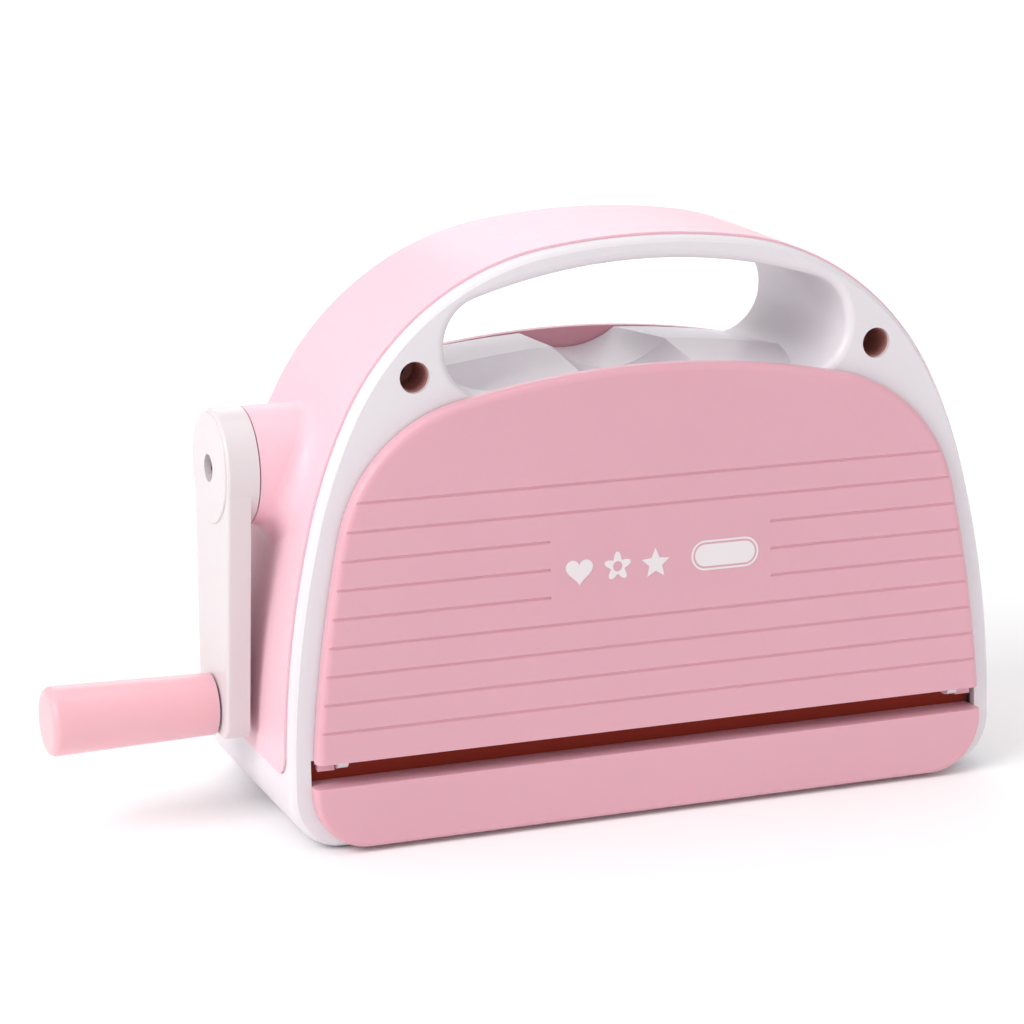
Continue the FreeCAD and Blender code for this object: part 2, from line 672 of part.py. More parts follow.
slab_round = round_edges("panel_rounded", slab, 2.2, panel_front_edges)
rear_line = arch("rear_panel_outline", "rear_top", ("panel_crown_rad", "rear_crown_z"), "panel_low",
                 [("panel_corner_rad", "rear_corner_z"), ("panel_side_rad", "panel_low")])
rear_slab = common("rear_panel_slab", prism("rear_panel_prism", rear_line),
                   lean_block("rear_panel_span", "-130", "130", "0", "180", front_plane("0"),
                              front_plane("$face_inset-$panel_gap")))
rear_slab_round = round_edges("rear_panel_rounded", rear_slab, 2.2, panel_front_edges)
grooves = []
for k in range(9):
    zk = "$panel_low+$groove_first+%d*$groove_pitch" % k
    yk = "-$base_depth/2-0.05+$lean_slope*(%s)" % zk
    if k in (4, 5, 6):
        grooves.append(rod("groove_%d_l" % k, "x", "$groove_rad", "-130", "-35", yk, zk))
        grooves.append(rod("groove_%d_r" % k, "x", "$groove_rad", "36", "130", yk, zk))
    else:
        grooves.append(rod("groove_%d" % k, "x", "$groove_rad", "-130", "130", yk, zk))
groove_set = doc.addObject("Part::Compound", "groove_set")
groove_set.Links = grooves


def knuckle(name, side):
    a, b = "$knuckle_in", "$knuckle_out"
    x0, x1 = (a, b) if side > 0 else ("-(%s)" % b, "-(%s)" % a)
    return rod(name, "x", "$knuckle_rad", x0, x1, hinge_y, "$panel_low")


low_trim = lean_block("knuckle_trim", "-130", "130", "$panel_low-5", "$panel_low", front_plane("-5"),
                      front_plane("$face_inset-$panel_gap"))
pin_bore = rod("knuckle_bore", "x", "$hinge_pin_rad+$fit", "-130", "130", hinge_y, "$panel_low")
knuckles = cut("knuckles", fuse("knuckle_pair", knuckle("knuckle_r", 1), knuckle("knuckle_l", -1)), low_trim)
lug_room = fuse("lug_room", rod("lug_room_r", "x", "$lug_rad+0.4", "$lug_in-0.4", "$knuckle_in", hinge_y,
                                "$panel_low"),
                rod("lug_room_l", "x", "$lug_rad+0.4", "-$knuckle_in", "-$lug_in+0.4", hinge_y, "$panel_low"))
front_table = cut("front_table_body", fuse("front_table_solid", cut("panel_grooved", slab_round, groove_set),
                                           knuckles), pin_bore, lug_room)
node(front_table, "front_table")
plain = [rod("rear_groove_%d" % k, "x", "$groove_rad", "-130", "130",
             "-$base_depth/2-0.05+$lean_slope*($panel_low+$groove_first+%d*$groove_pitch)" % k,
             "$panel_low+$groove_first+%d*$groove_pitch" % k) for k in range(9)]
rear_grooves = doc.addObject("Part::Compound", "rear_groove_set")
rear_grooves.Links = plain
rear_panel = cut("rear_panel", fuse("rear_panel_solid", cut("rear_panel_grooved", rear_slab_round, rear_grooves),
                                    knuckles), pin_bore, lug_room)
node(mirror("rear_table_body", rear_panel, (0, 1, 0)), "rear_table")


def pin_pair(name):
    r = rod(name + "_r", "x", "$hinge_pin_rad", "$lug_in+0.3", "$hinge_pin_end", hinge_y, "$panel_low")
    l = rod(name + "_l", "x", "$hinge_pin_rad", "-$hinge_pin_end", "-$lug_in-0.3", hinge_y, "$panel_low")
    return r, l


fr, fl = pin_pair("front_pin")
node(fr, "front_hinge_pin_right")
node(fl, "front_hinge_pin_left")
rr, rl = pin_pair("rear_pin")
node(mirror("rear_pin_right_body", rr, (0, 1, 0)), "rear_hinge_pin_right")
node(mirror("rear_pin_left_body", rl, (0, 1, 0)), "rear_hinge_pin_left")

# ---------------------------------------------------------------- sills with a ledge
sill_block = lean_block("sill_block", "-$sill_half", "$sill_half", "$sill_low", "$sill_top", front_plane("0"),
                        front_plane("$face_inset"))
doc.recompute()


def sill_corner(e):
    """The two lower outer corners, running front to rear."""
    a, b = e.Vertexes[0].Point, e.Vertexes[-1].Point
    return (abs(a.x - b.x) < 1e-6 and abs(abs(a.x) - size["sill_half"]) < 1e-6
            and abs(a.z - b.z) < 1e-6 and abs(a.z - size["sill_low"]) < 1e-6)


sill_cornered = round_edges("sill_cornered", sill_block, size["sill_corner_rad"], sill_corner)
sill_round = round_edges("sill_rounded", sill_cornered, 1.6,
                         lambda e: on_front(0.0)(e) and min(v.Z for v in e.Vertexes) < size["sill_top"] - 0.5)
ledge = lean_block("sill_ledge", "-$relief_half+0.4", "$relief_half-0.4", "$sill_top-$ledge_skin", "$sill_top",
                   front_plane("$face_inset-0.5"), ("-$bed_depth+4", 0))
front_sill = fuse("front_sill_body", sill_round, ledge)
node(front_sill, "front_sill")
node(mirror("rear_sill_body", front_sill, (0, 1, 0)), "rear_sill")

# ---------------------------------------------------------------- feed bed
bed = fuse("bed_solid",
           box("bed_top", "-$feed_half", "$feed_half", "-$bed_depth", "$bed_depth", "$panel_low-3", "$panel_low"),
           box("bed_apron_f", "-$relief_half+0.3", "$relief_half-0.3", "-$bed_depth", "-$bed_depth+2.4",
               "$sill_top", "$panel_low-0.1"),
           box("bed_apron_r", "-$relief_half+0.3", "$relief_half-0.3", "$bed_depth-2.4", "$bed_depth",
               "$sill_top", "$panel_low-0.1"))
bed_gate = box("bed_gate", "-$roller_half-1", "$roller_half+1", "-$lower_rad-0.8", "$lower_rad+0.8",
               "$panel_low-8", "$panel_low+2")
node(cut("feed_bed_body", bed, bed_gate), "feed_bed")

# ---------------------------------------------------------------- steel chassis
node(box("base_plate_body", "-$plate_in-6", "$plate_in+6", "-$plate_half-4", "$plate_half+4",
         "$chassis_z", "$chassis_z+$chassis_skin"), "base_plate")


def side_plate(name, side):
    a, b = "$plate_in", "$plate_in+$plate_skin"
    x0, x1 = (a, b) if side > 0 else ("-(%s)" % b, "-(%s)" % a)
    plate = box(name + "_blank", x0, x1, "-$plate_half", "$plate_half", "$chassis_z+$chassis_skin", "$plate_top")
    foot0, foot1 = (a, "$plate_in+6") if side > 0 else ("-($plate_in+6)", "-$plate_in")
    flange = box(name + "_flange", foot0, foot1, "-$plate_half", "$plate_half",
                 "$chassis_z+$chassis_skin", "$chassis_z+$chassis_skin+1.5")
    h0, h1 = ("70", "95") if side > 0 else ("-95", "-70")
    holes = [rod(name + "_bore_u", "x", "$bush_rad", h0, h1, "0", "$upper_z"),
             rod(name + "_bore_d", "x", "$bush_rad", h0, h1, "0", "$lower_z")]
    for i, (yy, zz) in enumerate((("-$rod_y", "$rod_z"), ("$rod_y", "$rod_z"), ("$rod_y", "$rod_low_z"))):
        holes.append(rod("%s_tap_%d" % (name, i), "x", "1.6", h0, h1, yy, zz))
    if side < 0:
        holes.append(rod(name + "_bore_crank", "x", "$bush_rad", h0, h1, "0", "$crank_z"))
        holes.append(rod(name + "_bore_idler", "x", "1.5", h0, h1, "$idler_y", "$idler_z"))
    return cut(name, fuse(name + "_solid", plate, flange), *holes)


node(side_plate("side_plate_left_body", -1), "side_plate_left")
node(side_plate("side_plate_right_body", 1), "side_plate_right")

rods = [rod("tie_rod_%d" % i, "x", "$rod_rad", "-$plate_in", "$plate_in", yy, zz)
        for i, (yy, zz) in enumerate((("-$rod_y", "$rod_z"), ("$rod_y", "$rod_z"), ("$rod_y", "$rod_low_z")))]
for i, r in enumerate(rods):
    bore = rod("tie_rod_tap_%d" % i, "x", "1.6", "-$plate_in-1", "-$plate_in+8",
               ("-$rod_y", "$rod_y", "$rod_y")[i], ("$rod_z", "$rod_z", "$rod_low_z")[i])
    bore2 = rod("tie_rod_tap2_%d" % i, "x", "1.6", "$plate_in-8", "$plate_in+1",
                ("-$rod_y", "$rod_y", "$rod_y")[i], ("$rod_z", "$rod_z", "$rod_low_z")[i])
    node(cut("tie_rod_body_%d" % i, r, bore, bore2), "tie_rod_%d" % (i + 1))

screws = []
for i, (yy, zz) in enumerate((("-$rod_y", "$rod_z"), ("$rod_y", "$rod_z"), ("$rod_y", "$rod_low_z"))):
    for sgn in (-1, 1):
        if sgn < 0:
            hd = rod("rod_screw_head_%d" % (2 * i), "x", "3", "-$plate_in-$plate_skin-1.4",
                     "-$plate_in-$plate_skin", yy, zz)
            st = rod("rod_screw_stem_%d" % (2 * i), "x", "1.55", "-$plate_in-$plate_skin-0.5",
                     "-$plate_in+7", yy, zz)
        else:
            hd = rod("rod_screw_head_%d" % (2 * i + 1), "x", "3", "$plate_in+$plate_skin",
                     "$plate_in+$plate_skin+1.4", yy, zz)
            st = rod("rod_screw_stem_%d" % (2 * i + 1), "x", "1.55", "$plate_in-7",
                     "$plate_in+$plate_skin+0.5", yy, zz)
        screws.append(fuse("rod_screw_%d" % len(screws), hd, st))
screw_set = doc.addObject("Part::Compound", "rod_screw_set")
screw_set.Links = screws
node(screw_set, "tie_rod_screws")


def bush(name, side, z, flange=True):
    """Bearing ring pressed into a side plate, with a collar on the roller side."""
    s = "-" if side < 0 else ""
    a, b = "$plate_in-1", "$plate_in+$plate_skin+0.5"
    x0, x1 = (a, b) if side > 0 else ("-(%s)" % b, "-(%s)" % a)
    ring = rod(name + "_ring", "x", "$bush_rad", x0, x1, "0", z)
    c0, c1 = ("$plate_in-1", "$plate_in") if side > 0 else ("-$plate_in", "-$plate_in+1")
    col = rod(name + "_collar", "x", "$bush_rad+1.2", c0, c1, "0", z)
    return cut(name, fuse(name + "_solid", ring, col),
               rod(name + "_bore", "x", "$shaft_rad+$fit", "-100" if side < 0 else "60",
                   "-60" if side < 0 else "100", "0", z))


for side, word in ((-1, "left"), (1, "right")):
    node(bush("upper_bush_%s_body" % word, side, "$upper_z"), "upper_bush_%s" % word)
    node(bush("lower_bush_%s_body" % word, side, "$lower_z"), "lower_bush_%s" % word)
node(bush("crank_bush_inner_body", -1, "$crank_z"), "crank_bush_inner")
node(cut("crank_bush_outer_body",
         rod("outer_bush_ring", "x", "7.5", "-$boss_face", "-96", "0", "$crank_z"),
         rod("outer_bush_bore", "x", "$shaft_rad+$fit", "-130", "-80", "0", "$crank_z")), "crank_bush_outer")

# ---------------------------------------------------------------- rollers
for word, rad, z in (("upper", "$upper_rad", "$upper_z"), ("lower", "$lower_rad", "$lower_z")):
    node(cut(word + "_roller_body", rod(word + "_drum", "x", rad, "-$roller_half", "$roller_half", "0", z),
             rod(word + "_drum_bore", "x", "$shaft_rad", "-90", "90", "0", z)), word + "_roller")
    x0 = "-$gear_out-0.6" if word == "upper" else "-$plate_in-$plate_skin-1.6"
    node(rod(word + "_shaft_body", "x", "$shaft_rad", x0, "$plate_in+$plate_skin+1.6", "0", z),
         word + "_roller_shaft")


# ---------------------------------------------------------------- gears
def gear(name, teeth, phase, y, z, bore):
    """Spur gear with involute teeth; phase is the direction of a tooth, in degrees from +Y towards +Z."""
    w = fcgear.FCWireBuilder()
    involute.CreateExternalGear(w, size["gear_module"], teeth, size["pressure_angle"], True,
                                0.8, 1.05, 0.2, -0.07)
    wire = Part.Wire([o.toShape() for o in w.wire])
    prof = doc.addObject("Part::Feature", name + "_profile")
    prof.Shape = Part.Face(wire)
    e = doc.addObject("Part::Extrusion", name + "_blank")
    e.Base = prof
    e.DirMode = "Custom"
    e.Dir = Vector(0, 0, 1)
    bind(e, "LengthFwd", "$gear_out-$gear_in")
    e.Solid = True
    b = doc.addObject("Part::Cylinder", name + "_bore")
    bind(b, "Radius", bore)
    bind(b, "Height", "30")
    bind(b, "Placement.Base.z", "-10")
    g = cut(name, e, b)
    # local x -> +Y, local y -> +Z, local z -> +X; the profile has a tooth on local x
    turn = FreeCAD.Rotation(Vector(0, 1, 0), Vector(0, 0, 1), Vector(1, 0, 0), "XYZ")
    turn = turn.multiply(FreeCAD.Rotation(Vector(0, 0, 1), phase))
    g.Placement = FreeCAD.Placement(Vector(0, 0, 0), turn)
    bind(g, "Placement.Base.x", "-$gear_out")
    bind(g, "Placement.Base.y", y)
    bind(g, "Placement.Base.z", z)
    return g


def heading(y0, z0, y1, z1):
    return math.degrees(math.atan2(z1 - z0, y1 - y0))


PINION, IDLER, DRIVEN = 12, 12, 40
iy, iz, kz, uz = size["idler_y"], size["idler_z"], size["crank_z"], size["upper_z"]
pinion_phase = heading(0, kz, iy, iz)                      # tooth points at the idler
idler_phase = heading(iy, iz, 0, kz) + 180.0 / IDLER       # gap points at the pinion
delta = (idler_phase - heading(iy, iz, 0, uz)) % (360.0 / IDLER)
driven_phase = heading(0, uz, iy, iz) + 180.0 / DRIVEN - delta * IDLER / DRIVEN
node(gear("drive_pinion_body", PINION, pinion_phase, "0", "$crank_z", "$shaft_rad"), "drive_pinion")
node(gear("idler_gear_body", IDLER, idler_phase, "$idler_y", "$idler_z", "3+$fit"), "idler_gear")
node(gear("roller_gear_body", DRIVEN, driven_phase, "0", "$upper_z", "$shaft_rad"), "roller_gear")

stud = fuse("idler_stud_body",
            rod("stud_tail", "x", "1.5", "-$plate_in-$plate_skin", "-$plate_in+0.6", "$idler_y", "$idler_z"),
            rod("stud_collar", "x", "5", "-$gear_in+0.1", "-$plate_in-$plate_skin", "$idler_y", "$idler_z"),
            rod("stud_pin", "x", "3", "-$gear_out-0.8", "-$plate_in-$plate_skin", "$idler_y", "$idler_z"))
node(stud, "idler_stud")
node(cut("idler_clip_body", rod("idler_clip_disc", "x", "4.6", "-$gear_out-0.8", "-$gear_out-0.2",
                                "$idler_y", "$idler_z"),
         rod("idler_clip_bore", "x", "3", "-100", "-80", "$idler_y", "$idler_z")), "idler_clip")


def ring(name, rad, bore, x0, x1, z):
    return cut(name, rod(name + "_disc", "x", rad, x0, x1, "0", z), rod(name + "_hole", "x", bore, "-150", "150",
                                                                        "0", z))


clips = doc.addObject("Part::Compound", "roller_clip_set")
clips.Links = [ring("upper_clip_r", "6", "$shaft_rad", "$plate_in+$plate_skin+0.7", "$plate_in+$plate_skin+1.5",
                    "$upper_z")]
node(clips, "upper_shaft_clip")
lclips = doc.addObject("Part::Compound", "lower_clip_set")
lclips.Links = [ring("lower_clip_r", "6", "$shaft_rad", "$plate_in+$plate_skin+0.7",
                     "$plate_in+$plate_skin+1.5", "$lower_z"),
                ring("lower_clip_l", "6", "$shaft_rad", "-$plate_in-$plate_skin-1.5",
                     "-$plate_in-$plate_skin-0.7", "$lower_z")]
node(lclips, "lower_shaft_clips")

# ---------------------------------------------------------------- crank
node(rod("crank_shaft_body", "x", "$shaft_rad", "-$cap_face+4", "-$plate_in+3", "0", "$crank_z"), "crank_shaft")
node(ring("crank_clip_body", "6", "$shaft_rad", "-$plate_in+1.3", "-$plate_in+2.1", "$crank_z"), "crank_clip")

arm_bar = doc.addObject("Part::Wedge", "arm_bar")
arm_bar.Placement = FreeCAD.Placement(Vector(0, 0, 0), FreeCAD.Rotation(Vector(1, 0, 0), 90))
bind(arm_bar, "Xmin", "-$cap_face"), bind(arm_bar, "Xmax", "-$arm_face")
bind(arm_bar, "X2min", "-$cap_face"), bind(arm_bar, "X2max", "-$arm_face")
bind(arm_bar, "Ymin", "$crank_z-$arm_throw-$arm_drop"), bind(arm_bar, "Ymax", "$crank_z")
bind(arm_bar, "Zmin", "-$arm_low_half"), bind(arm_bar, "Zmax", "$arm_low_half")
bind(arm_bar, "Z2min", "-$arm_top_half"), bind(arm_bar, "Z2max", "$arm_top_half")
doc.recompute()
arm_low_z = size["crank_z"] - size["arm_throw"] - size["arm_drop"]
arm_bar_round = round_edges("arm_bar_rounded", arm_bar, size["arm_corner"],
                            lambda e: all(abs(v.Z - arm_low_z) < 1e-6 for v in e.Vertexes)
                            and abs(e.Vertexes[0].Y - e.Vertexes[1].Y) < 1e-6)
arm_solid = fuse("arm_solid", arm_bar_round,
                 rod("arm_hub", "x", "$hub_rad", "-$cap_face", "-$hub_face", "0", "$crank_z"))


def outer_arm_edges(e):
    for t in range(5):
        p = e.valueAt(e.FirstParameter + (e.LastParameter - e.FirstParameter) * t / 4.0)
        if abs(p.x + size["cap_face"]) > 1e-4:
            return False
    return True


arm_edge = round_edges("arm_rounded", arm_solid, 1.0, outer_arm_edges)
disc = rod("arm_disc", "x", "$disc_rad", "-$cap_face-0.6", "-$cap_face+1", "0", "$crank_z")
doc.recompute()
disc_round = round_edges("arm_disc_rounded", disc, 0.5,
                         lambda e: all(abs(v.X + size["cap_face"] + 0.6) < 1e-6 for v in e.Vertexes))
arm_round = fuse("arm_with_disc", arm_edge, disc_round)
arm = cut("crank_arm_body", arm_round,
          rod("arm_shaft_bore", "x", "$shaft_rad", "-$cap_face+4", "-100", "0", "$crank_z"),
          rod("arm_screw_recess", "x", "$recess_rad", "-150", "-$cap_face+2.6", "0", "$crank_z"),
          rod("arm_screw_bore", "x", "1.6", "-150", "-100", "0", "$crank_z"),
          rod("arm_spindle_bore", "x", "2.5", "-150", "-100", "0", "$crank_z-$arm_throw"))
node(arm, "crank_arm")
node(fuse("crank_screw_body",
          rod("crank_screw_head", "x", "$screw_head_rad", "-$cap_face+0.6", "-$cap_face+2.6", "0", "$crank_z"),
          rod("crank_screw_stem", "x", "1.6", "-$cap_face+2.6", "-$cap_face+4", "0", "$crank_z")), "crank_screw")
node(fuse("grip_spindle_body",
          rod("spindle_stem", "x", "2.5", "-$grip_end+8", "-$arm_face", "0", "$crank_z-$arm_throw"),
          rod("spindle_tip", "x", "3.6", "-$grip_end+7", "-$grip_end+8", "0", "$crank_z-$arm_throw")),
     "grip_spindle")


def grip_cone():
    c = doc.addObject("Part::Cone", "grip_cone")
    bind(c, "Radius1", "$grip_end_rad")
    bind(c, "Radius2", "$grip_base_rad")
    bind(c, "Height", "$grip_end-$grip_base")
    return place(c, "-$grip_end", "0", "$crank_z-$arm_throw", (0, 1, 0), 90)


cone = grip_cone()
doc.recompute()
grip_round = round_edges("grip_rounded", cone, 2.4,
                         lambda e: all(abs(v.X + size["grip_end"]) < 1e-4 for v in e.Vertexes)
                         and len(e.Vertexes) == 1)
node(cut("grip_body", grip_round,
         rod("grip_bore", "x", "2.5+$fit", "-$grip_end+7.9", "-100", "0", "$crank_z-$arm_throw"),
         rod("grip_tip_room", "x", "3.6+$fit+0.1", "-$grip_end+6.6", "-$grip_end+8.4", "0",
             "$crank_z-$arm_throw")), "grip")

# ---------------------------------------------------------------- foot pad and frame screws
pad_block = box("pad_block", "-$pad_half_x", "$pad_half_x", "-$pad_half_y", "$pad_half_y", "0",
                "$shell_bottom+$cover_skin")
pad_corners = round_edges("pad_corners", pad_block, 11.0,
                          lambda e: abs(e.Vertexes[0].Z - e.Vertexes[-1].Z) > 1.0)
pad_round = round_edges("anti_slip_pad_body", pad_corners, 0.8, lambda e: max(v.Z for v in e.Vertexes) < 1e-6)
node(pad_round, "anti_slip_pad")
for side, word in ((-1, "left"), (1, "right")):
    x = "%d*$hole_x" % side
    head = rod("frame_screw_head_" + word, "y", "3.3", "-16.5", "-14", x, "$hole_z")
    stem = rod("frame_screw_stem_" + word, "y", "1.3", "-14", "8", x, "$hole_z")
    node(fuse("frame_screw_body_" + word, head, stem), "frame_screw_" + word)

# ---------------------------------------------------------------- write the files
doc.recompute()
for o in doc.Objects:
    if "Invalid" in o.State or "Error" in o.State:
        raise RuntimeError("object failed: %s %s" % (o.Name, o.State))
os.makedirs("parts", exist_ok=True)
for old in os.listdir("parts"):
    if old.endswith(".step"):
        os.remove(os.path.join("parts", old))
for obj, label in made:
    shape = obj.Shape
    if shape.isNull() or not shape.isValid() or shape.Volume < 0.5:
        raise RuntimeError("bad shape: " + label)
    shape.exportStep(os.path.join("parts", label + ".step"))
    bb = shape.BoundBox
    print("%-24s n=%d vol=%9.1f x %.1f..%.1f y %.1f..%.1f z %.1f..%.1f" % (
        label, len(shape.Solids), shape.Volume, bb.XMin, bb.XMax, bb.YMin, bb.YMax, bb.ZMin, bb.ZMax))
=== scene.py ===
import json
import math
import bpy
import bmesh
from mathutils import Matrix, Vector


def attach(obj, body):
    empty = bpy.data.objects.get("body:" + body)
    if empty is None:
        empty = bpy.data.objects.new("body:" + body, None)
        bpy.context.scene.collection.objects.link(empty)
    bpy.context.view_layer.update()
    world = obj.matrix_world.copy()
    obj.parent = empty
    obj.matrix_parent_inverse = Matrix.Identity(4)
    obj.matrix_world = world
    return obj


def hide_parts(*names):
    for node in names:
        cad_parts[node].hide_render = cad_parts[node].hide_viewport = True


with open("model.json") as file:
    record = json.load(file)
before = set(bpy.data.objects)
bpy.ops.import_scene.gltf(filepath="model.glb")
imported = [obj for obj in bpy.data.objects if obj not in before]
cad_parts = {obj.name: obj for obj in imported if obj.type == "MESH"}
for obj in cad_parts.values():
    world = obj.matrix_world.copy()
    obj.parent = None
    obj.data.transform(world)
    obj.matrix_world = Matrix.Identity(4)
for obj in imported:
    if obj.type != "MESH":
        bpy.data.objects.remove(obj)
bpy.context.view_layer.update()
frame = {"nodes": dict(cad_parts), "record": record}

MM = 0.001

# ------------------------------------------------------------------ sizes shared with the frame (mm)
BASE_DEPTH = 94.0        # front to rear face at the floor
LEAN_SLOPE = 0.0787      # each face leans in by this much per unit of height
FACE_INSET = 4.4         # white shell face behind the face of the closed table
CRANK_Z = 106.0
SCREW_HOLE_X, SCREW_HOLE_Z = 73.9, 135.5
SCREW_SEAT_X = -122.4    # underside of the crank screw's head


def front_y(z, inset=0.0):
    """Y of the leaning front face at height z, in mm."""
    return -BASE_DEPTH / 2 + inset + LEAN_SLOPE * z


# ------------------------------------------------------------------ materials
def new_mat(name):
    """Material with a lone Principled shader: returns material, node tree and shader."""
    m = bpy.data.materials.new(name)
    m.use_nodes = True
    nt = m.node_tree
    for n in list(nt.nodes):
        nt.nodes.remove(n)
    out = nt.nodes.new("ShaderNodeOutputMaterial")
    bsdf = nt.nodes.new("ShaderNodeBsdfPrincipled")
    nt.links.new(bsdf.outputs[0], out.inputs["Surface"])
    return m, nt, bsdf


def coords(nt, scale=(1, 1, 1)):
    """Object coordinates, in metres, stretched by scale."""
    tc = nt.nodes.new("ShaderNodeTexCoord")
    mp = nt.nodes.new("ShaderNodeMapping")
    mp.inputs["Scale"].default_value = scale
    nt.links.new(tc.outputs["Object"], mp.inputs["Vector"])
    return mp.outputs["Vector"]


def noise(nt, vec, scale, detail=3.0, rough=0.55):
    """Noise from 0 to 1, finer as scale grows."""
    n = nt.nodes.new("ShaderNodeTexNoise")
    n.inputs["Scale"].default_value = scale
    n.inputs["Detail"].default_value = detail
    n.inputs["Roughness"].default_value = rough
    nt.links.new(vec, n.inputs["Vector"])
    return n.outputs["Fac"]


def ramp(nt, fac, stops):
    """Colour ramp through (position, colour) stops."""
    r = nt.nodes.new("ShaderNodeValToRGB")
    while len(r.color_ramp.elements) < len(stops):
        r.color_ramp.elements.new(0.5)
    for e, (p, c) in zip(r.color_ramp.elements, stops):
        e.position = p
        e.color = (*c, 1.0)
    nt.links.new(fac, r.inputs["Fac"])
    return r.outputs["Color"]


def maprange(nt, fac, a, b, lo=0.3, hi=0.7):
    """Spread the middle of a noise, lo to hi, over a to b."""
    m = nt.nodes.new("ShaderNodeMapRange")
    m.inputs["From Min"].default_value = lo
    m.inputs["From Max"].default_value = hi
    m.inputs["To Min"].default_value = a
    m.inputs["To Max"].default_value = b
    nt.links.new(fac, m.inputs["Value"])
    return m.outputs["Result"]


def bump(nt, height, strength, dist, normal=None):
    """Bump of dist metres, on top of another normal where one is given."""
    b = nt.nodes.new("ShaderNodeBump")
    b.inputs["Strength"].default_value = strength
    b.inputs["Distance"].default_value = dist
    nt.links.new(height, b.inputs["Height"])
    if normal is not None:
        nt.links.new(normal, b.inputs["Normal"])
    return b.outputs["Normal"]


# Noise scales are in cycles per metre
DRIFT, WAVE, GLOSS, GRAIN = 9.0, 38.0, 240.0, 2600.0
WAVE_DEPTH, GRAIN_DEPTH = 0.0006, 0.00006
PLASTIC_IOR = 1.49
GLOW = (0.007, 0.0022, 0.0018)      # how far red, green and blue light travel inside the plastic
# How fine the lines of metal are along x, y and z: along rollers and pins, in rings on a screw, on sheet
LINES = {"x": (6, 900, 900), "ring": (900, 40, 40), "flat": (60, 900, 60)}
LINE_DEPTH, TARNISH, BLOT = 0.00002, 0.82, 60.0
RUBBER_GRAIN, RUBBER_BLOT, RUBBER_DEPTH = 900.0, 30.0, 0.00012


def plastic(name, color, rough=0.32, grain=0.05, vary=0.025, sss=0.06, coat=0.12):
    """Moulded plastic: slight colour drift, fine spark-erosion grain, long soft sink waves."""
    m, nt, b = new_mat(name)
    v = coords(nt)
    drift = noise(nt, v, DRIFT, 2.0)
    lo = tuple(c * (1 - vary) for c in color)
    hi = tuple(min(1.0, c * (1 + vary)) for c in color)
    nt.links.new(ramp(nt, drift, [(0.3, lo), (0.7, hi)]), b.inputs["Base Color"])
    gloss = noise(nt, v, GLOSS, 3.0)
    nt.links.new(maprange(nt, gloss, rough - 0.03, rough + 0.04), b.inputs["Roughness"])
    waves = bump(nt, noise(nt, v, WAVE, 1.0, 0.4), 0.06, WAVE_DEPTH)
    fine = bump(nt, noise(nt, v, GRAIN, 2.0, 0.6), grain, GRAIN_DEPTH, waves)
    nt.links.new(fine, b.inputs["Normal"])
    b.inputs["IOR"].default_value = PLASTIC_IOR
    b.inputs["Subsurface Weight"].default_value = sss
    b.inputs["Subsurface Radius"].default_value = GLOW
    b.inputs["Subsurface Scale"].default_value = 1.0
    b.inputs["Coat Weight"].default_value = coat
    b.inputs["Coat Roughness"].default_value = 0.22
    return m


def metal(name, color, rough, aniso, lines, metallic=1.0, scratch=0.35):
    """Turned or rolled metal: fine lines along one direction and slight tarnish."""
    m, nt, b = new_mat(name)
    fine = noise(nt, coords(nt, LINES[lines]), 1.0, 4.0, 0.7)
    blot = noise(nt, coords(nt), BLOT, 3.0)
    dull = tuple(c * TARNISH for c in color)
    nt.links.new(ramp(nt, blot, [(0.25, dull), (0.75, color)]), b.inputs["Base Color"])
    nt.links.new(maprange(nt, fine, rough - 0.06, rough + 0.12), b.inputs["Roughness"])
    nt.links.new(bump(nt, fine, scratch, LINE_DEPTH), b.inputs["Normal"])
    b.inputs["Metallic"].default_value = metallic
    b.inputs["Anisotropic"].default_value = aniso
    return m


def rubber(name, color):
    """Matt rubber with a coarse grain."""
    m, nt, b = new_mat(name)
    v = coords(nt)
    grain = noise(nt, v, RUBBER_GRAIN, 3.0)
    dark = tuple(c * 0.8 for c in color)
    nt.links.new(ramp(nt, noise(nt, v, RUBBER_BLOT), [(0.3, dark), (0.7, color)]), b.inputs["Base Color"])
    nt.links.new(maprange(nt, grain, 0.7, 0.9), b.inputs["Roughness"])
    nt.links.new(bump(nt, grain, 0.4, RUBBER_DEPTH), b.inputs["Normal"])
    return m


M_WHITE = plastic("white_abs", (0.77, 0.73, 0.765), rough=0.40, sss=0.08)
M_PANEL = plastic("pink_panel_abs", (0.74, 0.392, 0.464), rough=0.42, sss=0.20)
M_COVER = plastic("pink_cover_abs", (0.91, 0.55, 0.63), rough=0.42, sss=0.20, coat=0.05)
M_ARM = plastic("white_arm_abs", (0.715, 0.655, 0.675), rough=0.36, grain=0.015, sss=0.10)
M_GRIP = plastic("pink_grip_abs", (0.84, 0.46, 0.515), rough=0.36, grain=0.015, sss=0.20, coat=0.3)
# The feed bed is pink plastic; its dark red-brown colour is painted shade for the slot deep under the
# closed table.
M_BED_PAINTED_SHADE = plastic("pink_bed_painted_shade", (0.28, 0.032, 0.018), rough=0.62, sss=0.0, coat=0.0)
M_BED_PAINTED_SHADE.node_tree.nodes["Principled BSDF"].inputs["Specular IOR Level"].default_value = 0.12   # deep in shade
M_ROLLER = metal("roller_steel", (0.62, 0.63, 0.65), 0.24, 0.4, "x")
M_ZINC = metal("zinc_sheet", (0.58, 0.60, 0.62), 0.34, 0.0, "flat")
M_PIN = metal("pin_steel", (0.55, 0.56, 0.58), 0.25, 0.3, "x")
M_BLACK = metal("black_screw", (0.035, 0.035, 0.04), 0.38, 0.0, "ring", 0.85)
M_GEAR = metal("gear_metal", (0.50, 0.48, 0.43), 0.36, 0.0, "flat")
M_BUSH = plastic("acetal", (0.72, 0.69, 0.58), rough=0.35, sss=0.05)
